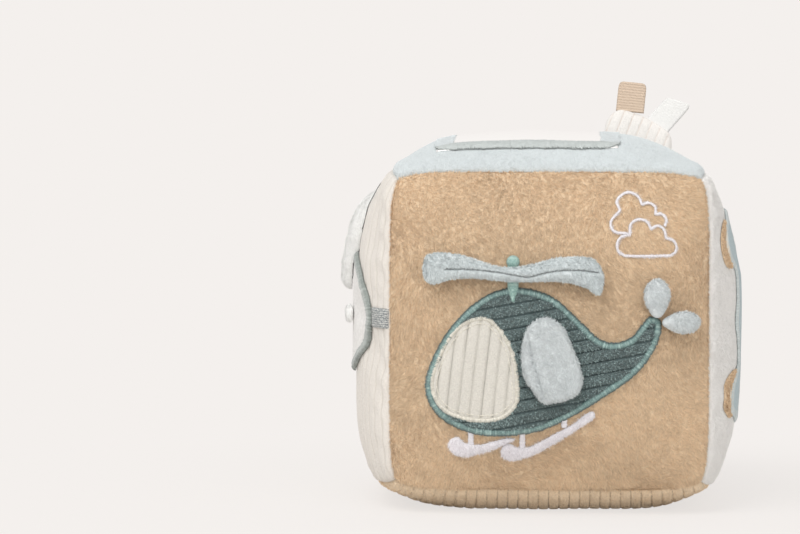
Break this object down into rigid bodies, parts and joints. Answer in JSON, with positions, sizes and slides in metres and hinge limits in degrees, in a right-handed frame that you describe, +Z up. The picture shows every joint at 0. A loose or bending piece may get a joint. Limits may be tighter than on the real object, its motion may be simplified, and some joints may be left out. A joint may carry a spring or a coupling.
{
  "type": "soft play cube",
  "caption": "Stuffed fabric play cube with sewn helicopter, clouds, aeroplane and car, lifting flap, blades and wing, a padded-frame mirror on top, a corduroy tab with tags and a rattle inside.",
  "frame": {"origin": "centre of the flat resting patch under the bottom panel, straight below the cube's centre", "axes": "+Z up, -Y out of the front panel with the helicopter, +X to the right seen from the front"},
  "size_m": [0.1795, 0.1768, 0.1854],
  "materials": {
    "tan_plush": "short plush pile",
    "pale_blue_plush": "short plush pile",
    "white_plush": "short plush pile",
    "cream_corduroy": "wide-wale corduroy",
    "tan_corduroy": "wide-wale corduroy",
    "teal_corduroy": "wide-wale corduroy",
    "mint_satin": "satin stitching",
    "cream_satin": "satin stitching",
    "white_satin": "satin",
    "grey_ribbon": "woven ribbon",
    "tan_ribbon": "ribbed grosgrain ribbon",
    "dark_thread": "stitched thread",
    "blue_cloth": "brushed cloth",
    "mirror_foil": "flexible mirror film",
    "fibre_filling": "loose polyester fibre",
    "crinkle_film": "thin crackling film",
    "rattle_plastic": "moulded",
    "ball_plastic": "moulded"
  },
  "bodies": {
    "cube": {"front_panel": "tan_plush", "back_panel": "pale_blue_plush", "left_panel": "cream_corduroy", "right_panel": "white_plush", "top_panel": "pale_blue_plush", "bottom_panel": "tan_corduroy", "filling_lower": "fibre_filling", "filling_upper": "fibre_filling", "crinkle_sheet": "crinkle_film", "rattle_shell_lower": "rattle_plastic", "rattle_shell_upper": "rattle_plastic", "fuselage": "teal_corduroy", "fuselage_border": "mint_satin", "cockpit_window": "cream_corduroy", "cockpit_border": "cream_satin", "rotor_centre": "pale_blue_plush", "rotor_mast": "mint_satin", "skid_left": "white_satin", "skid_right": "white_satin", "cloud_upper": "white_satin", "cloud_lower": "white_satin", "plane_body": "white_plush", "plane_border": "mint_satin", "plane_knob": "white_plush", "plane_ribbon": "grey_ribbon", "thread_line": "dark_thread", "car_border": "blue_cloth", "car_body": "blue_cloth", "car_window": "white_plush", "car_wheel_upper": "tan_plush", "car_wheel_lower": "tan_plush", "mirror_sheet": "mirror_foil", "mirror_frame_front": "pale_blue_plush", "mirror_frame_right": "pale_blue_plush", "mirror_frame_back": "pale_blue_plush", "mirror_frame_left": "pale_blue_plush"},
    "door": {"door_flap": "pale_blue_plush"},
    "blade_left": {"rotor_blade_left": "pale_blue_plush"},
    "blade_right": {"rotor_blade_right": "pale_blue_plush"},
    "lobe_upper": {"tail_lobe_upper": "pale_blue_plush"},
    "lobe_lower": {"tail_lobe_lower": "pale_blue_plush"},
    "wing": {"plane_wing": "white_plush"},
    "tab": {"corduroy_tab": "cream_corduroy"},
    "ribbon": {"ribbon_tag": "tan_ribbon"},
    "label": {"satin_label": "white_satin"},
    "ball_1": {"rattle_ball_1": "ball_plastic"},
    "ball_2": {"rattle_ball_2": "ball_plastic"},
    "ball_3": {"rattle_ball_3": "ball_plastic"}
  },
  "joints": [
    {"name": "door_lift", "type": "hinge", "parent": "cube", "child": "door", "pos_m": [-0.01132, -0.08976, 0.06563], "axis": [0.1736, 0, -0.9848], "range_deg": [0, 120], "stiffness_Nm_per_rad": 0.0005},
    {"name": "blade_left_lift", "type": "hinge", "parent": "cube", "child": "blade_left", "pos_m": [-0.0192, -0.08822, 0.1035], "axis": [0, 0, 1], "range_deg": [0, 60], "stiffness_Nm_per_rad": 0.001},
    {"name": "blade_right_lift", "type": "hinge", "parent": "cube", "child": "blade_right", "pos_m": [-0.0112, -0.08841, 0.1035], "axis": [0, 0, -1], "range_deg": [0, 60], "stiffness_Nm_per_rad": 0.001},
    {"name": "lobe_upper_lift", "type": "hinge", "parent": "cube", "child": "lobe_upper", "pos_m": [0.0456, -0.08475, 0.0855], "axis": [0.9598, 0.2806, 0], "range_deg": [0, 30], "stiffness_Nm_per_rad": 0.0005},
    {"name": "lobe_lower_lift", "type": "hinge", "parent": "cube", "child": "lobe_lower", "pos_m": [0.0476, -0.08414, 0.0835], "axis": [0, 0, -1], "range_deg": [0, 30], "stiffness_Nm_per_rad": 0.0005},
    {"name": "wing_lift", "type": "hinge", "parent": "cube", "child": "wing", "pos_m": [-0.08917, -0.006, 0.0935], "axis": [0, -1, 0], "range_deg": [0, 45], "stiffness_Nm_per_rad": 0.005},
    {"name": "tab_lean", "type": "hinge", "parent": "cube", "child": "tab", "pos_m": [0.041, 0.06944, 0.14794], "axis": [-1, 0, 0], "range_deg": [-20, 35], "stiffness_Nm_per_rad": 0.002},
    {"name": "ribbon_lean", "type": "hinge", "parent": "tab", "child": "ribbon", "pos_m": [0.0379, 0.07543, 0.17031], "axis": [-0.9945, 0.0271, 0.101], "range_deg": [-35, 35], "stiffness_Nm_per_rad": 0.0002},
    {"name": "label_lean", "type": "hinge", "parent": "tab", "child": "label", "pos_m": [0.0534, 0.07378, 0.16416], "axis": [-0.7431, 0.1732, 0.6463], "range_deg": [-35, 35], "stiffness_Nm_per_rad": 0.0002},
    {"name": "ball_1_travel", "type": "slide", "parent": "cube", "child": "ball_1", "axis": [0, 0, 1], "range_m": [0, 0.029]},
    {"name": "ball_2_travel", "type": "slide", "parent": "cube", "child": "ball_2", "axis": [0, 0, 1], "range_m": [0, 0.029]},
    {"name": "ball_3_travel", "type": "slide", "parent": "cube", "child": "ball_3", "axis": [0, 0, 1], "range_m": [0, 0.029]}
  ]
}
